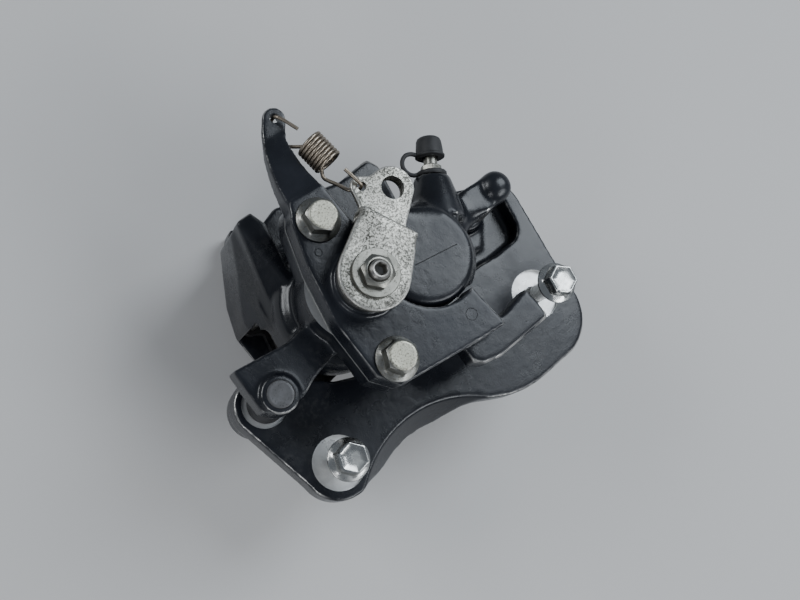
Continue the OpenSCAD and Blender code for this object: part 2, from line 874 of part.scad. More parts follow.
// Return spring: coil axis from near the arm to near the lever
coil_from = [-2.4, 108, 57.1];
coil_to = [-1.6, 96, 58.5];
coil_axis = coil_to - coil_from;
coil_len = norm(coil_axis);
coil_u = coil_axis / coil_len;
coil_v = cross(coil_u, [0, 0, 1]) / norm(cross(coil_u, [0, 0, 1]));
coil_w = cross(coil_u, coil_v);
coil_steps = 14 * spring_turns;

function coil_point(i) = coil_from
    + coil_u * coil_len * i / coil_steps
    + (spring_d / 2) * (coil_v * cos(360 * spring_turns * i / coil_steps)
    + coil_w * sin(360 * spring_turns * i / coil_steps));

spring_path = concat(
    [[-1, 114.6, 54.4], [-3, 120.6, 53.6], [-4.2, 123.6, 52.6], [-4.6, 124.4, 50], [-5, 124, 46.5],
     [-6.5, 121, 44.4], [-8, 116, 45], [-5.8, 111.6, 48.6]],
    [for (i = [4:coil_steps - 1]) coil_point(i)],
    [[-7.2, 92.6, 58.6], [-5.2, 87.6, 60], [-3.2, 83, 61], [-0.8, 80.9, 62], [-0.3, 80.7, 64.5],
     [-0.5, 81.2, 67.2], [-1.4, 84.2, 68.4], [-2.6, 89.6, 68.8]]
);

// Frame that turns with the path's direction
function unit(v) = v / norm(v);
function path_dir(p, i) = unit(p[min(i + 1, len(p) - 1)] - p[max(i - 1, 0)]);
function side_of(d, s) = unit(s - d * (s * d));
function sides(p, i, s) = i == len(p) ? [] :
    let (n = side_of(path_dir(p, i), s)) concat([n], sides(p, i + 1, n));

// Round wire along a path: rings of k points and two flat ends
module wire(p, r, k) {
    side = sides(p, 0, [1, 0.2, 0.1]);
    n = len(p);
    points = [for (i = [0:n - 1]) for (j = [0:k - 1])
        let (d = path_dir(p, i), s = side[i], t = cross(d, s), a = 360 * j / k)
            p[i] + r * (s * cos(a) + t * sin(a))];
    walls = [for (i = [0:n - 2]) for (j = [0:k - 1])
        [i * k + j, i * k + (j + 1) % k, (i + 1) * k + (j + 1) % k, (i + 1) * k + j]];
    start = [[for (j = [k - 1:-1:0]) j]];
    end = [[for (j = [0:k - 1]) (n - 1) * k + j]];
    turned = [for (f = concat(walls, start, end)) [for (q = [len(f) - 1:-1:0]) f[q]]];
    polyhedron(points = points, faces = turned);
}

module return_spring() {
    color(steel)
        wire(spring_path, spring_wire / 2, 8);
}

caliper_bracket();
pad_retainer();
mount_bolt_left();
mount_bolt_right();
slide_pin_left();
slide_boot_left();
slide_pin_right();
slide_boot_right();
caliper_body();
piston_left();
piston_right();
piston_seals();
dust_seals();
bleed_screw();
bleed_cap();
pad_pin();
pad_pin_plug();
pad_spring();
inner_pad_plate();
inner_pad_lining();
inner_pad_shim();
outer_pad_plate();
outer_pad_lining();
outer_pad_shim();
parking_gasket();
parking_housing();
parking_bolts();
parking_shaft();
shaft_seal();
shaft_boot();
push_rod();
push_rod_guide();
parking_lever();
lever_washer();
adjuster_nut();
adjuster_screw();
return_spring();
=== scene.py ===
"""Looks for the disc brake caliper: castings, fasteners, lever, spring, rubber and light."""
import math

import bmesh
import bpy
import numpy as np
from mathutils import Matrix, Vector


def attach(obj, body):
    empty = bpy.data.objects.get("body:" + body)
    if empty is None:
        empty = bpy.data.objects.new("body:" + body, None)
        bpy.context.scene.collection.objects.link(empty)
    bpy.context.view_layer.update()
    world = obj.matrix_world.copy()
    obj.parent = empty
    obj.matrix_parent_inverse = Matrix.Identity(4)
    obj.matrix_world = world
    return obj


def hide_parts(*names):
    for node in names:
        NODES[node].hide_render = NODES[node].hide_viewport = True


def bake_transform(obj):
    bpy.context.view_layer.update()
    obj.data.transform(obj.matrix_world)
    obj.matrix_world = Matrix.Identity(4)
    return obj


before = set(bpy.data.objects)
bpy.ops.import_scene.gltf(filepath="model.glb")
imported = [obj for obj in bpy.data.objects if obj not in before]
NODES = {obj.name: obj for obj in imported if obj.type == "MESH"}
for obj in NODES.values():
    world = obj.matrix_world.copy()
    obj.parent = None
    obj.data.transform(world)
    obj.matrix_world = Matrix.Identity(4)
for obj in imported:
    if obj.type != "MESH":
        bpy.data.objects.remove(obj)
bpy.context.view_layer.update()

MM = 0.001
SCENE = bpy.context.scene

# ---------------------------------------------------------------- places, mm
# The same axes, heights and radii as in the CAD model
LEFT_BOLT = (-60.0, 0.0)
RIGHT_BOLT = (60.0, 0.0)
LEFT_PIN = (-69.5, 37.5)
RIGHT_PIN = (60.0, 49.0)
SHAFT = (-22.0, 51.0)
UPPER_BOLT = (-21.4, 80.5)
LOWER_BOLT = (-31.4, 20.8)
ARM_HOLE = (-4.5, 124.0)
CABLE_HOLE = (9.8, 73.2)
TANG_HOLE = (-0.3, 80.6)
PISTON_PITCH = 29.5
ROW_TILT = math.radians(12)
BRACKET_TOP = 12.0
SEAT_Z = 10.0
SEAT_R = 11.5
JOINT_Z = 50.4
HOUSING_Z = 51.0
HOUSING_TOP = 62.0
CAP_Z = 60.0
BODY_R = 21.0
BORE_R = 12.75
TOWER_R = 13.0
JAW_Z = -43.95
JAW_TOP_Z = -29.95
MOUTH_Z = 6.0
PAD_PIN = (-23.2, 12.6)
PAD_PIN_TOP = 11.5
PAD_PIN_R = 2.5
PORT_X = 38.0
PORT_Z = 28.5
PORT_MOUTH = 24.5
PORT_DEPTH = 9.5
LEVER_Z = 75.0
BLEED_AT = Vector((34.3, 63.9, 45.0))
BLEED_AXIS = (math.cos(math.radians(54.3)), math.sin(math.radians(54.3)), 0)
BLEED_SEAT = 5.4
LUG_FLOOR_Z = 27.8
SLEEVE_Z = 28.8
HEAD_HEIGHT = 8.0


def in_row(x, y):
    """Point of the piston row's frame in the bracket's frame."""
    c, s = math.cos(ROW_TILT), math.sin(ROW_TILT)
    return SHAFT[0] + x * c + y * s, SHAFT[1] - x * s + y * c


RIGHT_CYL = in_row(PISTON_PITCH, 0)


# ---------------------------------------------------------------- mesh tools
def link(name, mesh):
    obj = bpy.data.objects.new(name, mesh)
    SCENE.collection.objects.link(obj)
    return obj


def mesh_of(name, verts, faces):
    """Object from points in mm."""
    mesh = bpy.data.meshes.new(name)
    mesh.from_pydata([tuple(c * MM for c in v) for v in verts], [], faces)
    mesh.validate()
    mesh.update()
    return link(name, mesh)


def drop(*objs):
    for obj in objs:
        mesh = obj.data
        bpy.data.objects.remove(obj)
        bpy.data.meshes.remove(mesh)


def frame_to(at, axis):
    """Matrix that puts local Z on axis at a point, in metres."""
    z = Vector(axis).normalized()
    x = z.orthogonal().normalized() if abs(z.z) < 0.999 else Vector((1, 0, 0))
    y = z.cross(x)
    rot = Matrix((x, y, z)).transposed().to_4x4()
    return Matrix.Translation(Vector(at) * MM) @ rot


def place(obj, at=(0, 0, 0), axis=(0, 0, 1)):
    obj.data.transform(frame_to(at, axis))
    return obj


def rings(name, rows, closed_ends=True):
    """Skin over rows of points that all have the same count; each row is a closed loop."""
    k = len(rows[0])
    verts = [p for row in rows for p in row]
    faces = []
    for i in range(len(rows) - 1):
        for j in range(k):
            a, b = i * k + j, i * k + (j + 1) % k
            faces.append((a, b, b + k, a + k))
    if closed_ends:
        faces.append(tuple(range(k - 1, -1, -1)))
        faces.append(tuple(range((len(rows) - 1) * k, len(rows) * k)))
    return mesh_of(name, verts, faces)


def round_row(r, z, steps=72):
    """Circle of points at a height."""
    angles = [2 * math.pi * j / steps for j in range(steps)]
    return [(r * math.cos(a), r * math.sin(a), z) for a in angles]


def lathe(name, profile, at=(0, 0, 0), axis=(0, 0, 1), steps=72):
    """Closed solid from a profile of (radius, height) points that runs from the bottom to the top."""
    rows = [round_row(max(r, 1e-4), z, steps) for r, z in profile]
    return place(weld(rings(name, rows)), at, axis)


def tube(name, profile, at=(0, 0, 0), axis=(0, 0, 1), steps=72):
    """Ring from a closed profile of (radius, height) points."""
    k = len(profile)
    verts = []
    faces = []
    for j in range(steps):
        a = 2 * math.pi * j / steps
        verts += [(r * math.cos(a), r * math.sin(a), z) for r, z in profile]
        here, after = j * k, ((j + 1) % steps) * k
        faces += [(here + i, after + i, after + (i + 1) % k, here + (i + 1) % k) for i in range(k)]
    return place(outward(mesh_of(name, verts, faces)), at, axis)


def weld(obj, dist=0.002):
    bm = bmesh.new()
    bm.from_mesh(obj.data)
    bmesh.ops.remove_doubles(bm, verts=bm.verts, dist=dist * MM)
    bmesh.ops.recalc_face_normals(bm, faces=bm.faces)
    bm.to_mesh(obj.data)
    bm.free()
    return obj


def outward(obj):
    return weld(obj, 0.0)


def prism(name, outline, z0, z1):
    """Upright prism of an outline, in mm."""
    n = len(outline)
    verts = [(x, y, z0) for x, y in outline] + [(x, y, z1) for x, y in outline]
    faces = [tuple(range(n - 1, -1, -1)), tuple(range(n, 2 * n))]
    faces += [(i, (i + 1) % n, n + (i + 1) % n, n + i) for i in range(n)]
    return outward(mesh_of(name, verts, faces))


def post(name, at, r, z0, z1, steps=72):
    return lathe(name, [(0, z0), (r, z0), (r, z1), (0, z1)], (at[0], at[1], 0), steps=steps)


def arc(c, r, a0, a1, n):
    return [(c[0] + r * math.cos(math.radians(a0 + (a1 - a0) * i / n)),
             c[1] + r * math.sin(math.radians(a0 + (a1 - a0) * i / n))) for i in range(n + 1)]


def joined(name, objs):
    """One object with the meshes of several; the several are removed."""
    bm = bmesh.new()
    for obj in objs:
        bm.from_mesh(obj.data)
    mesh = bpy.data.meshes.new(name)
    bm.to_mesh(mesh)
    bm.free()
    drop(*objs)
    return link(name, mesh)


def copy_of(node, name):
    obj = link(name, NODES[node].data.copy())
    obj.data.materials.clear()
    return obj


def applied(obj):
    """Modifiers turned into the mesh."""
    graph = bpy.context.evaluated_depsgraph_get()
    mesh = bpy.data.meshes.new_from_object(obj.evaluated_get(graph))
    old = obj.data
    obj.modifiers.clear()
    obj.data = mesh
    bpy.data.meshes.remove(old)
    return obj


def voxel(obj, size):
    m = obj.modifiers.new("voxel", "REMESH")
    m.mode = "VOXEL"
    m.voxel_size = size * MM
    return applied(obj)


def cut(obj, *cutters, mode="DIFFERENCE"):
    for cutter in cutters:
        m = obj.modifiers.new("cut", "BOOLEAN")
        m.operation = mode
        m.solver = "MANIFOLD"
        m.object = cutter
        applied(obj)
    drop(*cutters)
    return obj


def points_of(mesh):
    co = np.empty(len(mesh.vertices) * 3)
    mesh.vertices.foreach_get("co", co)
    return co.reshape(-1, 3)


def edges_of(mesh):
    e = np.empty(len(mesh.edges) * 2, dtype=np.int64)
    mesh.edges.foreach_get("vertices", e)
    return e.reshape(-1, 2)


def smoothed(co, edges, times, step=0.5, hold=None):
    """Each point moves towards the mean of its neighbours; hold is 1 where a point stays."""
    n = len(co)
    a, b = edges[:, 0], edges[:, 1]
    count = np.maximum(np.bincount(a, minlength=n) + np.bincount(b, minlength=n), 1)
    free = np.ones(n) if hold is None else 1 - hold
    for _ in range(times):
        mean = np.empty_like(co)
        for k in range(3):
            mean[:, k] = (np.bincount(a, co[b, k], n) + np.bincount(b, co[a, k], n)) / count
        co = co + (step * free)[:, None] * (mean - co)
    return co


def soften(obj, times, hold=None):
    mesh = obj.data
    co = points_of(mesh)
    held = hold(co / MM) if hold else None
    co = smoothed(co, edges_of(mesh), times, hold=held)
    mesh.vertices.foreach_set("co", co.ravel())
    mesh.update()
    return obj


def shade(obj, angle=35):
    """Smooth faces with sharp edges where they meet at more than the angle."""
    mesh = obj.data
    mesh.polygons.foreach_set("use_smooth", [True] * len(mesh.polygons))
    bm = bmesh.new()
    bm.from_mesh(mesh)
    limit = math.radians(angle)
    for e in bm.edges:
        e.smooth = len(e.link_faces) != 2 or e.calc_face_angle(0) < limit
    bm.to_mesh(mesh)
    bm.free()
    return obj


def mark_wear(obj, reach=8):
    """Stores how far each point stands proud of its surroundings, in mm, as attribute "proud"."""
    mesh = obj.data
    co = points_of(mesh)
    blurred = smoothed(co, edges_of(mesh), reach)
    normals = np.empty(len(co) * 3)
    mesh.vertices.foreach_get("normal", normals)
    proud = ((co - blurred) * normals.reshape(-1, 3)).sum(1) / MM
    layer = mesh.attributes.new("proud", "FLOAT", "POINT")
    layer.data.foreach_set("value", proud.astype(np.float32))
    return obj


def finish_piece(obj, body, slot, *nodes, material=None):
    if material is not None:
        obj.data.materials.clear()
        obj.data.materials.append(material)
    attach(obj, body)
    if nodes:
        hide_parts(*nodes)
    return obj


# ---------------------------------------------------------------- materials
class Nodes:
    """Short calls that build a node tree."""

    def __init__(self, name):
        self.material = bpy.data.materials.new(name)
        self.material.use_nodes = True
        self.tree = self.material.node_tree
        self.shader = self.tree.nodes["Principled BSDF"]
        self.place = self.add("ShaderNodeTexCoord").outputs["Object"]

    def add(self, kind, **values):
        node = self.tree.nodes.new(kind)
        for key, value in values.items():
            setattr(node, key, value)
        return node

    def wire(self, source, socket):
        if hasattr(source, "is_output"):
            self.tree.links.new(source, socket)
        else:
            socket.default_value = source

    def noise(self, scale, detail=3, rough=0.5, stretch=None):
        node = self.add("ShaderNodeTexNoise")
        node.inputs["Scale"].default_value = scale
        node.inputs["Detail"].default_value = detail
        node.inputs["Roughness"].default_value = rough
        source = self.place
        if stretch:
            mapping = self.add("ShaderNodeMapping")
            mapping.inputs["Scale"].default_value = stretch[:3]
            if len(stretch) > 3:
                mapping.inputs["Rotation"].default_value = stretch[3]
            self.wire(source, mapping.inputs["Vector"])
            source = mapping.outputs["Vector"]
        self.wire(source, node.inputs["Vector"])
        return node.outputs["Fac"]

    def cells(self, scale):
        node = self.add("ShaderNodeTexVoronoi")
        node.inputs["Scale"].default_value = scale
        self.wire(self.place, node.inputs["Vector"])
        return node.outputs["Distance"]

    def ramp(self, value, low, high, out_low=0.0, out_high=1.0):
        node = self.add("ShaderNodeMapRange")
        node.interpolation_type = "SMOOTHSTEP"
        self.wire(value, node.inputs["Value"])
        node.inputs["From Min"].default_value = low
        node.inputs["From Max"].default_value = high
        node.inputs["To Min"].default_value = out_low
        node.inputs["To Max"].default_value = out_high
        return node.outputs["Result"]

    def sum(self, a, b, operation="ADD"):
        node = self.add("ShaderNodeMath", operation=operation)
        self.wire(a, node.inputs[0])
        self.wire(b, node.inputs[1])
        return node.outputs[0]

    def times(self, a, b):
        return self.sum(a, b, "MULTIPLY")

    def blend(self, fac, a, b):
        """Colour a where fac is 0 and b where it is 1."""
        node = self.add("ShaderNodeMix", data_type="RGBA")
        self.wire(fac, node.inputs[0])
        for value, socket in ((a, node.inputs[6]), (b, node.inputs[7])):
            if isinstance(value, tuple):
                socket.default_value = (*value, 1.0)
            else:
                self.wire(value, socket)
        return node.outputs[2]

    def attribute(self, name):
        node = self.add("ShaderNodeAttribute")
        node.attribute_name = name
        return node.outputs["Fac"]

    def bump(self, *layers):
        """Layers are (height socket, depth in mm)."""
        normal = None
        for height, depth in layers:
            node = self.add("ShaderNodeBump")
            node.inputs["Distance"].default_value = depth * MM
            node.inputs["Strength"].default_value = 1.0
            self.wire(height, node.inputs["Height"])
            if normal is not None:
                self.wire(normal, node.inputs["Normal"])
            normal = node.outputs["Normal"]
        self.wire(normal, self.shader.inputs["Normal"])

    def set(self, **values):
        names = {"color": "Base Color", "rough": "Roughness", "metal": "Metallic",
                 "specular": "Specular IOR Level"}
        for key, value in values.items():
            socket = self.shader.inputs[names[key]]
            if isinstance(value, tuple):
                socket.default_value = (*value, 1.0)
            else:
                self.wire(value, socket)
        return self.material


def cast_paint(name, tone, wear=1.0):
    """Satin black paint on a casting: grain, dust, rubbed edges and fine scratches."""
    n = Nodes(name)
    patch = n.noise(55, 4, 0.55)
    grain = n.noise(1500, 2, 0.6)
    lumps = n.noise(260, 3, 0.5)
    base = n.blend(n.ramp(patch, 0.3, 0.7), tuple(c * 0.8 for c in tone), tuple(c * 1.35 for c in tone))
    dust = n.times(n.ramp(n.noise(30, 5, 0.6), 0.5, 0.72), n.ramp(n.noise(420, 4, 0.7), 0.45, 0.65))
    base = n.blend(n.times(dust, 0.16), base, (0.16, 0.155, 0.15))
    ragged = n.times(n.sum(n.noise(180, 5, 0.7), -0.5), 0.16)
    edge = n.ramp(n.sum(n.attribute("proud"), ragged), 0.15, 0.21)
    edge = n.times(n.times(edge, n.ramp(n.noise(48, 3, 0.5), 0.44, 0.6)), wear)
    scratch = n.ramp(n.noise(75, 3, 0.5, stretch=(1, 9, 1, (0.0, 0.3, 0.7))), 0.74, 0.76)
    scratch = n.times(scratch, n.ramp(n.noise(22, 2, 0.5), 0.56, 0.62))
    bare = n.sum(edge, n.times(scratch, 0.35), "MAXIMUM")
    base = n.blend(bare, base, (0.46, 0.45, 0.43))
    rough = n.sum(n.ramp(patch, 0.3, 0.75, 0.22, 0.35), n.times(dust, 0.2))
    n.bump((lumps, 0.10), (grain, 0.035))
    return n.set(color=base, rough=rough, metal=n.times(bare, 0.75), specular=0.5)


def machined(name, ring_at=None, tone=(0.78, 0.78, 0.77)):
    """Bright milled aluminium with turning marks about a vertical axis."""
    n = Nodes(name)
    stain = n.noise(110, 5, 0.6)
    if ring_at:
        shift = n.add("ShaderNodeMapping")
        shift.inputs["Location"].default_value = (-ring_at[0] * MM, -ring_at[1] * MM, 0)
        n.wire(n.place, shift.inputs["Vector"])
        wave = n.add("ShaderNodeTexWave", wave_type="RINGS", rings_direction="Z")
        wave.inputs["Scale"].default_value = 900
        wave.inputs["Distortion"].default_value = 1.5
        wave.inputs["Detail"].default_value = 2
        n.wire(shift.outputs["Vector"], wave.inputs["Vector"])
        marks = wave.outputs["Fac"]
    else:
        marks = n.noise(900, 2, 0.5, stretch=(1, 12, 1))
    base = n.blend(n.ramp(stain, 0.42, 0.75), tone, tuple(c * 0.72 for c in tone))
    n.bump((marks, 0.012), (n.noise(700, 2, 0.6), 0.01))
    return n.set(color=base, rough=n.ramp(stain, 0.3, 0.7, 0.25, 0.42), metal=0.7)


def plated(name, tone, speck=(0.25, 0.24, 0.21), amount=0.5, low=0.25, high=0.5, grain=0.02):
    """Zinc plate or bare steel: cloudy colour, dark specks and soft gloss."""
    n = Nodes(name)
    cloud = n.noise(130, 4, 0.6)
    fine = n.noise(1300, 3, 0.65)
    base = n.blend(n.ramp(cloud, 0.35, 0.7), tone, tuple(c * 0.78 for c in tone))
    spots = n.times(n.ramp(fine, 0.56, 0.68), amount)
    base = n.blend(spots, base, speck)
    rough = n.sum(n.ramp(cloud, 0.3, 0.7, low, high), n.times(spots, 0.25))
    n.bump((fine, grain), (n.noise(240, 3, 0.5), 0.02))
    return n.set(color=base, rough=rough, metal=1.0)


def speckled_zinc(name, tone, speck):
    """Tumbled zinc plate: fine light and dark grains all over, with cloudy rubbed patches."""
    n = Nodes(name)
    grains = n.noise(1500, 3, 0.75)
    coarse = n.noise(620, 3, 0.7)
    cloud = n.noise(70, 4, 0.6)
    base = n.blend(n.ramp(cloud, 0.38, 0.66), tuple(c * 0.85 for c in tone), tuple(c * 1.15 for c in tone))
    dark = n.times(n.ramp(grains, 0.47, 0.55), n.ramp(cloud, 0.3, 0.6, 1.0, 0.7))
    base = n.blend(dark, base, speck)
    base = n.blend(n.times(n.ramp(coarse, 0.6, 0.68), 0.6), base, tuple(c * 0.6 for c in speck))
    edge = n.ramp(n.attribute("proud"), 0.03, 0.12)
    base = n.blend(n.times(edge, 0.5), base, (0.75, 0.74, 0.7))
    rough = n.sum(n.ramp(cloud, 0.3, 0.7, 0.42, 0.3), n.times(dark, 0.2))
    n.bump((grains, 0.06), (coarse, 0.05))
    return n.set(color=base, rough=rough, metal=0.9)


def lit_top_zinc(name, tone, side, top_z):
    """Zinc plate with a painted highlight: pale on a bolt head's top, with painted shade darkening its
    sides.
    """
    n = Nodes(name)
    height = n.add("ShaderNodeSeparateXYZ")
    n.wire(n.place, height.inputs["Vector"])
    # painted highlight: faces at the head's top height get the pale tone, the sides below keep the darker
    # tone as painted shade
    lit_top = n.ramp(height.outputs["Z"], (top_z - 0.35) * MM, (top_z - 0.12) * MM)
    cloud = n.noise(150, 4, 0.6)
    fine = n.noise(1400, 3, 0.7)
    base = n.blend(n.ramp(cloud, 0.35, 0.7), side, tuple(c * 0.6 for c in side))
    base = n.blend(lit_top, base, tone)
    spots = n.ramp(fine, 0.5, 0.62)
    base = n.blend(n.times(spots, 0.8), base, (0.17, 0.16, 0.13))
    rough = n.sum(n.ramp(cloud, 0.3, 0.7, 0.3, 0.45), n.times(lit_top, 0.12))
    n.bump((fine, 0.04), (n.noise(240, 3, 0.5), 0.02))
    return n.set(color=base, rough=rough, metal=1.0)


def moulded_rubber(name, tone=(0.02, 0.02, 0.021), low=0.45, high=0.68):
    n = Nodes(name)
    cloud = n.noise(160, 4, 0.6)
    base = n.blend(n.ramp(cloud, 0.35, 0.7), tone, tuple(c * 1.9 + 0.004 for c in tone))
    n.bump((n.noise(1800, 2, 0.5), 0.02), (cloud, 0.05))
    return n.set(color=base, rough=n.ramp(cloud, 0.3, 0.7, low, high), specular=0.45)


def friction(name):
    n = Nodes(name)
    flecks = n.cells(1500)
    base = n.blend(n.ramp(flecks, 0.05, 0.4), (0.32, 0.26, 0.17), (0.05, 0.047, 0.045))
    base = n.blend(n.ramp(n.noise(400, 4, 0.6), 0.45, 0.6), base, (0.075, 0.07, 0.068))
    n.bump((n.noise(1200, 3, 0.6), 0.08))
    return n.set(color=base, rough=n.ramp(flecks, 0, 0.5, 0.55, 0.85))


def fibre(name):
    n = Nodes(name)
    strands = n.noise(700, 3, 0.6, stretch=(1, 5, 1))
    base = n.blend(n.ramp(strands, 0.35, 0.65), (0.3, 0.3, 0.29), (0.16, 0.16, 0.155))
    n.bump((strands, 0.03))
    return n.set(color=base, rough=n.ramp(strands, 0.3, 0.7, 0.7, 0.9))


PAINT = (0.009, 0.0105, 0.0145)
cast_black = cast_paint("cast_black", PAINT)
# painted light: the housing gets a 1.15 times lighter copy of the casting paint; its lower edge wear is
# real
housing_black = cast_paint("housing_black", tuple(c * 1.15 for c in PAINT), wear=0.8)
pad_black = cast_paint("pad_black", (0.03, 0.03, 0.03), wear=0.5)
seat_left = machined("seat_left", LEFT_BOLT)
seat_right = machined("seat_right", RIGHT_BOLT)
seat_pin = machined("seat_pin", LEFT_PIN)
joint_face = machined("joint_face", tone=(0.7, 0.7, 0.69))
# mechanism bolts: pale tops as painted highlight, darker sides as painted shade
bolt_zinc = lit_top_zinc("bolt_zinc", (0.56, 0.55, 0.46), (0.3, 0.3, 0.28), HOUSING_TOP + HEAD_HEIGHT)
bright_zinc = plated("bright_zinc", (0.62, 0.62, 0.6), amount=0.35, low=0.16, high=0.32)
dull_zinc = plated("dull_zinc", (0.33, 0.325, 0.29), (0.1, 0.09, 0.07), amount=0.8, low=0.28, high=0.45)
lever_zinc = speckled_zinc("lever_zinc", (0.5, 0.49, 0.44), (0.05, 0.047, 0.04))
oiled_steel = plated("oiled_steel", (0.34, 0.33, 0.31), (0.1, 0.08, 0.06), amount=0.6, low=0.3, high=0.5)
spring_steel = plated("spring_steel", (0.36, 0.31, 0.25), (0.14, 0.09, 0.06), amount=0.6, low=0.28,
                      high=0.45)
coated = cast_paint("coated", (0.02, 0.02, 0.02), wear=0.4)
stainless = plated("stainless", (0.6, 0.6, 0.59), amount=0.3, low=0.22, high=0.35)
chrome = plated("chrome", (0.75, 0.75, 0.75), amount=0.1, low=0.08, high=0.18, grain=0.004)
cap_grey = plated("cap_grey", (0.16, 0.16, 0.165), (0.06, 0.06, 0.06), amount=0.5, low=0.5, high=0.65)
rubber = moulded_rubber("rubber")
# near-black painted shade for the shallow grooves of the parting line and the ejector rings
groove_shade_black = moulded_rubber("groove_shade_black", (0.003, 0.003, 0.004), 0.7, 0.9)
lining = friction("lining")
gasket = fibre("gasket")


# ---------------------------------------------------------------- castings
FILLET_ROUNDS = 110
CASTING_ANGLE = 42


def row_lathe(name, x, y, profile, steps=96):
    cx, cy = in_row(x, y)
    return lathe(name, profile, (cx, cy, 0), steps=steps)


def block(name, x0, x1, y0, y1, z0, z1):
    return prism(name, [(x0, y0), (x1, y0), (x1, y1), (x0, y1)], z0, z1)


def away_from(places):
    """Hold weights that are 0 at each (point, reach) and 1 beyond its reach."""
    def hold(co):
        held = np.ones(len(co))
        for at, reach in places:
            far = np.linalg.norm(co - np.array(at), axis=1) / reach
            held = np.minimum(held, np.clip(2 * far - 1, 0, 1))
        return held
    return hold


def casting(node, name, material, plugs, size, rounds, fillets=()):
    """Rounded solid from a CAD node's shape with its machined places filled in.

    Fillets are (point, reach) places where one shape flows into the next.
    """
    obj = joined(name, [copy_of(node, name)] + plugs)
    voxel(obj, size)
    soften(obj, rounds)
    if fillets:
        soften(obj, FILLET_ROUNDS, away_from(fillets))
    mark_wear(obj)
    obj.data.materials.clear()
    obj.data.materials.append(material)
    return obj


def machine(obj, material, *cutters):
    """Cuts and gives the cut faces their own material."""
    for cutter in cutters:
        cutter.data.materials.clear()
        cutter.data.materials.append(material)
        m = obj.modifiers.new("cut", "BOOLEAN")
        m.operation = "DIFFERENCE"
        m.solver = "MANIFOLD"
        m.material_mode = "TRANSFER"
        m.object = cutter
        applied(obj)
        drop(cutter)
    return obj


def hole(at, r, z0, z1, steps=64):
    return post("hole", at, r, z0, z1, steps)


def bracket_casting():
    bolt_hole_r = 4.25
    recess_r = 9.5
    pin_hole_r = 4.55
    thread_r = 4.05
    plugs = [hole(at, SEAT_R + 0.7, 0, BRACKET_TOP) for at in (LEFT_BOLT, RIGHT_BOLT)]
    plugs += [hole(LEFT_PIN, recess_r + 0.3, -9, BRACKET_TOP), hole(RIGHT_PIN, thread_r + 0.35, -3, 9)]
    obj = casting("caliper_bracket", "bracket_casting", cast_black, plugs, 0.7, 10)
    machine(obj, seat_left, hole(LEFT_BOLT, SEAT_R, SEAT_Z, 20, 96))
    machine(obj, seat_right, hole(RIGHT_BOLT, SEAT_R, SEAT_Z, 20, 96))
    machine(obj, joint_face, block("mounting", -100, 100, -60, 25, -20, 0.0))
    for at in (LEFT_BOLT, RIGHT_BOLT):
        machine(obj, joint_face, hole(at, bolt_hole_r, -1, BRACKET_TOP + 1))
    recess = hole(LEFT_PIN, recess_r, BRACKET_TOP - 1, BRACKET_TOP + 2)
    machine(obj, seat_pin, recess, hole(LEFT_PIN, pin_hole_r, -12, BRACKET_TOP + 2))
    machine(obj, joint_face, hole(RIGHT_PIN, thread_r, -8, 9.2))
    shade(obj, CASTING_ANGLE)
    finish_piece(obj, "bracket", "cast_black", "caliper_bracket")


def flange_outline(out):
    """Outline of the face that the parking mechanism bolts to, grown by out."""
    left = [(-10.5 + out, 91), (-25.5 - out, 92.5), (-30.5 - out, 85.9), (-36.8 - out, 67.4),
            (-41.6 - out, 45), (-42 - out, 20.4), (-35.9 - out, 11.8 - out)]
    right = [(-8.9, 7.3 - out), (14.4 + out, 3.9 - out), (12.6 + out, 22.8)]
    return left + right + arc(RIGHT_CYL, 21.1, -74, -214, 22) + [(-10 + out, 62)]


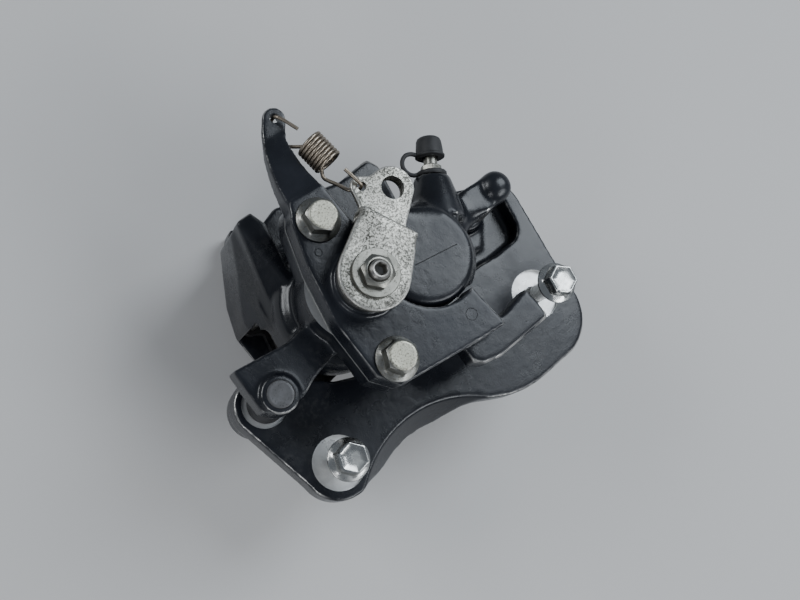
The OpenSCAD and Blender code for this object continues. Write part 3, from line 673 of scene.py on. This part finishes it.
def body_casting():
    left, right = in_row(0, 0), RIGHT_CYL
    thread_r = 4.05
    head_r = 5.7
    sleeve_r = 4.55
    bleed_r = 3.55
    fill_r = 14.7
    filler = [(0, 6), (fill_r, 6), (fill_r, 44), (0, 44)]
    plugs = [row_lathe("plug", x, 0, filler) for x in (0, PISTON_PITCH)]
    plugs += [hole(left, BODY_R, 40, 53, 96), hole(left, 10.4, 40, 51)]
    plugs += [hole(p, 5, 34, 51) for p in (UPPER_BOLT, LOWER_BOLT)]
    plugs += [hole(LEFT_PIN, head_r + 0.5, 28, 42), hole(RIGHT_PIN, 5, 29, 46)]
    for z0, z1 in ((JAW_Z, JAW_TOP_Z), (MOUTH_Z, PAD_PIN_TOP + 1)):
        plugs.append(row_lathe("plug", *PAD_PIN, [(0, z0), (2.9, z0), (2.9, z1), (0, z1)]))
    # The bleed boss, the cap's edge beside it and the sleeve's rib flow into the free cylinder
    roots = [((36, 46, 45), 14), ((18, 60, 54), 10), ((30, 55, 34), 10)]
    obj = casting("caliper_body", "caliper_casting", cast_black, plugs, 0.7, 9, roots)
    for face in (prism("face", flange_outline(1.5), JOINT_Z, 70), hole(left, 22.5, JOINT_Z, 70, 96)):
        cut(face, hole(right, BODY_R + 0.25, 40, 80, 96))
        machine(obj, joint_face, face)
    machine(obj, cast_black, hole(SHAFT, TOWER_R + 0.3, JOINT_Z, 62, 96))
    dust_r, seal_r = BORE_R + 1.6, BORE_R + 1.8
    cylinder = [(0, 5), (BORE_R, 5), (BORE_R, 9), (dust_r, 9), (dust_r, 13), (BORE_R, 13), (BORE_R, 20),
                (seal_r, 20), (seal_r, 23), (BORE_R, 23), (BORE_R, 43), (0, 43)]
    for x in (0, PISTON_PITCH):
        machine(obj, joint_face, row_lathe("bore", x, 0, cylinder))
    guide = [(0, 42), (7, 42), (7, 45.5), (10, 45.5), (10, 52), (0, 52)]
    machine(obj, joint_face, row_lathe("bore", 0, 0, guide))
    for p in (UPPER_BOLT, LOWER_BOLT):
        machine(obj, joint_face, hole(p, thread_r, JOINT_Z - 14, 52))
    machine(obj, joint_face, hole(LEFT_PIN, head_r, 26, 44), hole(RIGHT_PIN, sleeve_r, 27, 45.5))
    # Parting line over the free cylinder's cap, its groove coloured near-black as painted shade
    seam = [(-0.4, 44.1), (19.9, 40.3), (19.9, 40.6), (-0.4, 44.4)]
    machine(obj, groove_shade_black, prism("seam", seam, CAP_Z - 0.4, CAP_Z + 1))
    r = PAD_PIN_R + 0.05
    top = PAD_PIN_TOP + 0.5
    machine(obj, joint_face, row_lathe("bore", *PAD_PIN, [(0, -45), (r, -45), (r, top), (0, top)]))
    bleed = [(0, -8), (bleed_r, -8), (bleed_r, 12), (0, 12)]
    machine(obj, joint_face, lathe("bore", bleed, BLEED_AT, BLEED_AXIS))
    mouth = Vector((*in_row(PORT_X, -PORT_MOUTH), PORT_Z))
    along = Vector((*in_row(PORT_X, 0), PORT_Z)) - mouth
    pilot = PORT_DEPTH + 5
    port = [(0, -2), (4.5, -2), (4.5, PORT_DEPTH), (1.6, PORT_DEPTH + 0.6), (1.6, pilot), (0, pilot)]
    machine(obj, joint_face, lathe("bore", port, mouth, along))
    shade(obj, CASTING_ANGLE)
    finish_piece(obj, "caliper", "cast_black", "caliper_body")


def ring_mark(at, z, r, width=0.25):
    """Cutter for a shallow ring, such as an ejector pin leaves."""
    profile = [(r, -0.12), (r + width, -0.12), (r + width, 1), (r, 1)]
    return tube("mark", profile, (*at, z), steps=48)


def housing_casting():
    plugs = [hole(p, 5, HOUSING_Z, HOUSING_TOP) for p in (UPPER_BOLT, LOWER_BOLT)]
    plugs += [hole(SHAFT, 11.6, HOUSING_Z, 64), hole(ARM_HOLE, 2.4, 46, 51)]
    obj = casting("parking_housing", "housing_casting", housing_black, plugs, 0.6, 6)
    machine(obj, joint_face, block("face", -60, 30, -4, 94, 45, HOUSING_Z))
    for p in (UPPER_BOLT, LOWER_BOLT):
        machine(obj, housing_black, hole(p, 4.3, 50, 64))
    bore = [(0, 50), (11, 50), (11, 55), (6.05, 55), (6.05, 60), (8.3, 60), (8.3, 66), (0, 66)]
    machine(obj, joint_face, lathe("bore", bore, (*SHAFT, 0)))
    machine(obj, housing_black, hole(ARM_HOLE, 2, 44, 54))
    # Rings left by the ejector pins, coloured near-black as painted shade in the grooves
    machine(obj, groove_shade_black, ring_mark((4.8, 15.6), HOUSING_TOP, 2.3))
    machine(obj, groove_shade_black, ring_mark((-29.5, 70.6), HOUSING_TOP, 1.3))
    shade(obj, CASTING_ANGLE)
    finish_piece(obj, "caliper", "housing_black", "parking_housing")


bracket_casting()
body_casting()
housing_casting()


# ---------------------------------------------------------------- fasteners
HEX_STEPS = 72
FLATS = 12.0
PITCH = 1.25


def hex_radius(across, a, corner=1.135):
    d = (a + math.pi / 6) % (math.pi / 3) - math.pi / 6
    return min(across / 2 / math.cos(math.pi / 6 - abs(d)), across / 2 * corner)


def hex_row(across, z, inset=0.0):
    pts = []
    for j in range(HEX_STEPS):
        a = 2 * math.pi * j / HEX_STEPS
        r = hex_radius(across - 2 * inset, a)
        pts.append((r * math.cos(a), r * math.sin(a), z))
    return pts


def turned_down(across, z_top, r_flat, slope=0.55):
    """Row of a hexagon's rim where a cone from a circle meets its sides."""
    row = hex_row(across, z_top)
    return [(x, y, z_top - slope * max(math.hypot(x, y) - r_flat, 0.0)) for x, y, _ in row]


def thread_rows(z0, z1, r, pitch, depth, steps=36):
    """Rows of a threaded rod from z0 up to z1, run out at both ends."""
    rows = []
    n = int(abs(z1 - z0) / pitch * 6)
    for i in range(n + 1):
        z = z0 + (z1 - z0) * i / n
        ease = min(1.0, i / 9, (n - i) / 9)
        row = []
        for j in range(HEX_STEPS):
            a = 2 * math.pi * j / HEX_STEPS
            phase = (z / pitch - j / HEX_STEPS) % 1
            d = depth * abs(2 * phase - 1) * ease
            row.append(((r - d) * math.cos(a), (r - d) * math.sin(a), z))
        rows.append(row)
    return rows


def hex_bolt(name, length, shank_free, top, at, spin=0.0):
    """Flange bolt; top is "dished" or "flat"."""
    rows = [round_row(0.01, -length), round_row(3.0, -length), round_row(3.3, 0.4 - length)]
    rows += thread_rows(1.1 - length, -shank_free - 0.8, 3.95, PITCH, 0.6)
    rows += [round_row(3.97, -shank_free), round_row(3.97, -0.3), round_row(4.15, 0.04)]
    rows += [round_row(8.5, 0.04), round_row(8.85, 0.18), round_row(8.9, 0.5), round_row(8.8, 1.0)]
    rows += [round_row(8.4, 1.25), round_row(7.4, 1.75), hex_row(FLATS + 0.5, 2.15)]
    rows += [hex_row(FLATS + 0.1, 2.6), hex_row(FLATS, 3.0)]
    if top == "flat":
        rows += [turned_down(FLATS, 7.85, 5.2), round_row(5.35, 7.9), round_row(5.1, 8.0)]
        rows += [round_row(4.7, 7.98), round_row(0.01, 7.95)]
    else:
        rows += [turned_down(FLATS, 7.5, 6.1, 0.35), hex_row(FLATS, 7.9, 0.45)]
        rows += [hex_row(FLATS, 8.0, 0.75), hex_row(FLATS, 7.96, 1.0), hex_row(FLATS, 7.65, 1.6)]
        rows += [round_row(2.5, 7.6), round_row(0.01, 7.6)]
    obj = rings(name, rows)
    obj.data.transform(Matrix.Rotation(math.radians(spin), 4, "Z"))
    place(weld(obj), at)
    return shade(obj, 28)


def fasteners():
    for node, at, spin in (("mount_bolt_left", LEFT_BOLT, 8), ("mount_bolt_right", RIGHT_BOLT, 20)):
        bearing_z = max(v.co.z for v in NODES[node].data.vertices) / MM - HEAD_HEIGHT
        obj = hex_bolt(node + "_look", 45, 16, "dished", (*at, bearing_z), spin)
        finish_piece(obj, node, "bright_zinc", node, material=bright_zinc)
    bolts = [hex_bolt("mechanism_bolt", 22, 11, "flat", (*p, HOUSING_TOP + 0.02), spin)
             for p, spin in ((UPPER_BOLT, 22), (LOWER_BOLT, 3))]
    obj = shade(joined("mechanism_bolts", bolts), 28)
    finish_piece(obj, "caliper", "dull_zinc", "parking_bolts", material=bolt_zinc)


def adjuster():
    z = LEVER_Z
    profile = [(4.3, 0.02), (9.3, 0.02), (9.5, 0.2), (9.5, 1.3), (9.25, 1.6), (4.6, 1.6), (4.3, 1.4)]
    washer = tube("lever_washer_look", profile, (*SHAFT, z), steps=96)
    finish_piece(shade(washer, 30), "parking_lever", "dull_zinc", "lever_washer", material=dull_zinc)
    base = z + 1.62
    rows = [round_row(4.3, 0.0), hex_row(FLATS - 0.6, 0.0), hex_row(FLATS, 0.35),
            turned_down(FLATS, 2.75, 5.2), round_row(5.25, 2.9), round_row(5.0, 3.0),
            round_row(4.5, 3.0), round_row(4.05, 2.6),
            round_row(4.05, 0.3), round_row(4.3, 0.0)]
    nut = rings("adjuster_nut_look", rows, closed_ends=False)
    nut.data.transform(Matrix.Rotation(math.radians(12), 4, "Z"))
    place(weld(nut), (*SHAFT, base))
    finish_piece(shade(nut, 28), "parking_lever", "dull_zinc", "adjuster_nut", material=dull_zinc)
    low, top = 49.3, 82.0
    rows = [round_row(0.01, low), round_row(3.3, low), round_row(3.6, low + 0.4)]
    rows += thread_rows(low + 0.9, top - 0.9, 3.97, PITCH, 0.55)
    rows += [round_row(3.5, top - 0.35), round_row(3.1, top), round_row(2.6, top - 0.05),
             hex_row(4.3, top - 0.45), hex_row(4.0, top - 0.8), hex_row(4.0, top - 4),
             round_row(0.01, top - 4.6)]
    screw = place(weld(rings("adjuster_screw_look", rows)), (*SHAFT, 0))
    finish_piece(shade(screw, 28), "parking_lever", "dull_zinc", "adjuster_screw", material=oiled_steel)
    folds = [(6.4, 64.1), (12.2, 64.1), (12.4, 64.6), (12.4, 66.2), (11.2, 66.9), (12, 67.8),
             (11.9, 68.9), (10.8, 69.5), (11.2, 70.6), (10.6, 71.8), (6.4, 71.8)]
    boot = tube("shaft_boot_look", folds, (*SHAFT, 0))
    finish_piece(shade(boot, 40), "parking_lever", "rubber", "shaft_boot", material=rubber)


def lever():
    plugs = [hole(CABLE_HOLE, 5, 60.7, 62.7), hole(CABLE_HOLE, 5, 64, 66.5), hole(TANG_HOLE, 2.2, 64, 66.5),
             hole(SHAFT, 5.4, 72, 75)]
    obj = joined("lever_plate", [copy_of("parking_lever", "lever_plate")] + plugs)
    voxel(obj, 0.4)
    soften(obj, 9)
    bend_at = np.array([-10.4, 73.2])
    bend_normal = np.array([0.891, 0.454])
    bend_reach = 5.5

    def away_from_bend(co):
        far = np.abs((co[:, :2] - bend_at) @ bend_normal)
        near = np.clip(1 - far / bend_reach, 0, 1) * np.clip((co[:, 2] - 66) / 4, 0, 1)
        return 1 - near

    soften(obj, 60, away_from_bend)
    mark_wear(obj)
    obj.data.materials.clear()
    obj.data.materials.append(lever_zinc)
    machine(obj, lever_zinc, hole(CABLE_HOLE, 4.75, 58, 63.4), hole(CABLE_HOLE, 4.75, 63.4, 68),
            hole(TANG_HOLE, 1.9, 63, 68), hole(SHAFT, 5.05, 70, 78), ring_mark((-11.2, 57.7), LEVER_Z, 0.6))
    shade(obj, 40)
    finish_piece(obj, "parking_lever", "lever_zinc", "parking_lever")


fasteners()
adjuster()
lever()


# ---------------------------------------------------------------- wire, boots, nipple
def catmull(points, per=6):
    """Smooth curve through points."""
    pts = [Vector(p) for p in points]
    pts = [2 * pts[0] - pts[1]] + pts + [2 * pts[-1] - pts[-2]]
    out = []
    for i in range(1, len(pts) - 2):
        p0, p1, p2, p3 = pts[i - 1:i + 3]
        for k in range(per):
            t = k / per
            out.append(0.5 * ((2 * p1) + (p2 - p0) * t + (2 * p0 - 5 * p1 + 4 * p2 - p3) * t * t
                              + (3 * p1 - p0 - 3 * p2 + p3) * t * t * t))
    out.append(pts[-2])
    return out


def sweep(name, path, r, steps=16, hint=(1, 0.2, 0.1)):
    rows = []
    side = Vector(hint)
    for i, p in enumerate(path):
        d = (path[min(i + 1, len(path) - 1)] - path[max(i - 1, 0)]).normalized()
        side = (side - d * side.dot(d)).normalized()
        other = d.cross(side)
        angles = [2 * math.pi * j / steps for j in range(steps)]
        rows.append([p + r * (side * math.cos(a) + other * math.sin(a)) for a in angles])
    return weld(rings(name, rows))


def return_spring():
    start, end = Vector((-2.4, 108, 57.1)), Vector((-1.6, 96, 58.5))
    u = (end - start).normalized()
    v = u.cross(Vector((0, 0, 1))).normalized()
    w = u.cross(v)
    turns, per_turn, r = 8, 24, 5.5
    coil = []
    for i in range(7, turns * per_turn - 1):
        a = 2 * math.pi * i / per_turn
        centre = start.lerp(end, i / (turns * per_turn))
        coil.append(centre + r * (v * math.cos(a) + w * math.sin(a)))
    lead_in = catmull([(-1, 114.6, 54.4), (-3, 120.6, 53.6), (-4.2, 123.6, 52.6), (-4.6, 124.4, 50),
                       (-5, 124, 46.5), (-6.5, 121, 44.4), (-8, 116, 45), (-5.8, 111.6, 48.6), coil[0]])
    lead_out = catmull([coil[-1], (-7.2, 92.6, 58.6), (-5.2, 87.6, 60), (-3.2, 83, 61), (-0.8, 80.9, 62),
                        (-0.3, 80.7, 64.5), (-0.5, 81.2, 67.2), (-1.4, 84.2, 68.4), (-2.6, 89.6, 68.8)])
    obj = shade(sweep("return_spring_look", lead_in[:-1] + coil + lead_out[1:], 0.75), 50)
    obj.data.materials.append(spring_steel)
    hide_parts("return_spring")
    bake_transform(obj)


def bellows(name, at, z0, z1, node):
    """Boot from the bracket's boss at z0 to the caliper at z1."""
    r_in, r_out = 4.8, 8
    folds, per_fold = 3, 8
    depth, taper = 1.1, 0.9
    profile = [(r_in, z0), (r_in + 1.4, z0)]
    for i in range(folds * per_fold):
        t = i / (folds * per_fold)
        wave = math.sin(2 * math.pi * (i / per_fold - 0.25))
        profile.append((r_out - depth + depth * wave - taper * t, z0 + 1 + (z1 - z0 - 2) * t))
    profile += [(r_in + 1.6, z1 - 0.6), (r_in + 1.4, z1), (r_in, z1)]
    obj = shade(tube(name, profile, (*at, 0)), 60)
    obj.data.materials.append(rubber)
    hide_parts(node)
    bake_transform(obj)


def slide_pins():
    r, low, top = 5.65, LUG_FLOOR_Z, 42.2
    profile = [(0, -7.5), (3.5, -7.5), (4.5, -6.5), (4.5, low), (r, low), (r, top - 0.7)]
    profile += [(r - 0.25, top - 0.25), (r - 0.8, top), (r - 1.4, top - 0.05), (2.2, top - 0.15),
                (0, top - 0.15)]
    obj = shade(lathe("slide_pin_left_look", profile, (*LEFT_PIN, 0)), 30)
    finish_piece(obj, "caliper", "dark_cap", "slide_pin_left", material=cap_grey)
    bellows("slide_boot_left_look", LEFT_PIN, BRACKET_TOP - 1, LUG_FLOOR_Z, "slide_boot_left")
    bellows("slide_boot_right_look", RIGHT_PIN, BRACKET_TOP + 1, SLEEVE_Z, "slide_boot_right")


def bleed_nipple():
    axis = BLEED_AXIS
    s = BLEED_SEAT
    rows = [round_row(0.01, -7), round_row(2.6, -7)] + thread_rows(-6, s - 0.6, 3.45, PITCH, 0.5)
    rows += [round_row(3.3, s), round_row(3.9, s + 0.1), hex_row(7.8, s + 0.2), hex_row(8, s + 0.5),
             turned_down(8, s + 4.8, 3.9), round_row(3.7, s + 5.0), round_row(2.9, s + 5.3),
             round_row(2.7, s + 11.2), round_row(3.2, s + 12), round_row(3.1, s + 13.4),
             round_row(2.2, s + 14), round_row(1.0, s + 14), round_row(1.0, s), round_row(0.01, s)]
    screw = shade(place(weld(rings("bleed_screw_look", rows)), BLEED_AT, axis), 28)
    finish_piece(screw, "bleeder", "dull_zinc", "bleed_screw", material=dull_zinc)
    hat = [(0, s + 15), (3.25, s + 15), (3.35, s + 8.6), (5.7, s + 8.5), (6.2, s + 8.8), (6.3, s + 9.5),
           (5.8, s + 10), (5.75, s + 10.8), (5.7, s + 12.2), (5.3, s + 15.6), (4.9, s + 16.6),
           (4.1, s + 17.2), (2.6, s + 17.35), (0, s + 17.3)]
    cap = lathe("cap", hat, BLEED_AT, axis)
    collar = [(4.75, s + 0.3), (6.1, s + 0.3), (6.4, s + 0.7), (6.4, s + 1.8), (6.1, s + 2.2),
              (4.75, s + 2.2)]
    ring_piece = tube("ring", collar, BLEED_AT, axis)
    side = Vector((-axis[1], axis[0], 0))
    loop = [(5.4, 1.3), (7.6, 0.7), (10.2, 1.4), (12.2, 3.7), (12.4, 6.6), (11, 9.1), (8.4, 10), (5.4, 9.5)]
    path = catmull([BLEED_AT + side * y + Vector(axis) * (s + z) for y, z in loop])
    strap = sweep("strap", path, 0.95, 12)
    obj = shade(joined("bleed_cap_look", [cap, ring_piece, strap]), 40)
    finish_piece(obj, "bleeder", "rubber", "bleed_cap", material=rubber)


return_spring()
slide_pins()
bleed_nipple()

# ---------------------------------------------------------------- CAD nodes that stay
KEPT = {
    "pad_retainer": stainless, "slide_pin_right": dull_zinc, "piston_left": chrome, "piston_right": chrome,
    "piston_seals": rubber, "dust_seals": rubber, "pad_pin": oiled_steel, "pad_pin_plug": oiled_steel,
    "pad_spring": stainless, "inner_pad_plate": pad_black, "outer_pad_plate": pad_black,
    "inner_pad_lining": lining, "outer_pad_lining": lining, "inner_pad_shim": coated,
    "outer_pad_shim": coated, "parking_gasket": gasket, "parking_shaft": oiled_steel,
    "shaft_seal": rubber, "push_rod": oiled_steel, "push_rod_guide": oiled_steel,
}
for node, material in KEPT.items():
    for slot in NODES[node].material_slots:
        slot.material = material

# ---------------------------------------------------------------- camera, floor, light
EYE = Vector((-181.3, 46.2, 448.3)) * MM
LOOK = Vector((0.3946, -0.0209, -0.9186)).normalized()
UP = Vector((0.5763, 0.7843, 0.2297))


def camera():
    data = bpy.data.cameras.new("camera")
    data.lens = 49.5
    data.sensor_width = 36
    obj = bpy.data.objects.new("camera", data)
    SCENE.collection.objects.link(obj)
    side = LOOK.cross(UP).normalized()
    rot = Matrix((side, side.cross(LOOK), -LOOK)).transposed().to_4x4()
    obj.matrix_world = Matrix.Translation(EYE) @ rot
    SCENE.camera = obj


def area(name, at, target, size, power, tone):
    data = bpy.data.lights.new(name, "AREA")
    data.shape = "RECTANGLE"
    data.size, data.size_y = size
    data.energy = power
    data.color = tone
    obj = bpy.data.objects.new(name, data)
    SCENE.collection.objects.link(obj)
    obj.location = at
    obj.rotation_euler = (Vector(target) - Vector(at)).to_track_quat("-Z", "Y").to_euler()


def studio():
    low = min(v.co.z for v in NODES["caliper_body"].data.vertices)
    half = 3000
    gap = 0.2
    corners = [(-half, -half, 0), (half, -half, 0), (half, half, 0), (-half, half, 0)]
    floor = mesh_of("floor", corners, [(0, 1, 2, 3)])
    floor.location.z = low - gap * MM
    n = Nodes("floor")
    floor.data.materials.append(n.set(color=(0.62, 0.61, 0.60), rough=0.75, specular=0.2))
    area("ceiling", (0.95, 0.1, 1.1), (0, 0.04, 0), (0.7, 0.9), 11.5, (0.86, 0.93, 1.0))
    area("window", (0.25, -0.95, 0.85), (0, 0.04, 0), (0.9, 0.4), 8, (0.92, 0.96, 1.0))
    area("fill", (-0.6, 0.9, 0.7), (0, 0.04, 0), (0.6, 0.3), 4.5, (0.94, 0.97, 1.0))
    area("left", (-0.85, -0.25, 0.5), (-0.05, 0.05, 0), (0.3, 0.3), 1.6, (0.94, 0.96, 1.0))
    world = bpy.data.worlds.new("world")
    world.use_nodes = True
    world.node_tree.nodes["Background"].inputs["Color"].default_value = (0.66, 0.74, 0.85, 1)
    world.node_tree.nodes["Background"].inputs["Strength"].default_value = 0.22
    SCENE.world = world


camera()
studio()
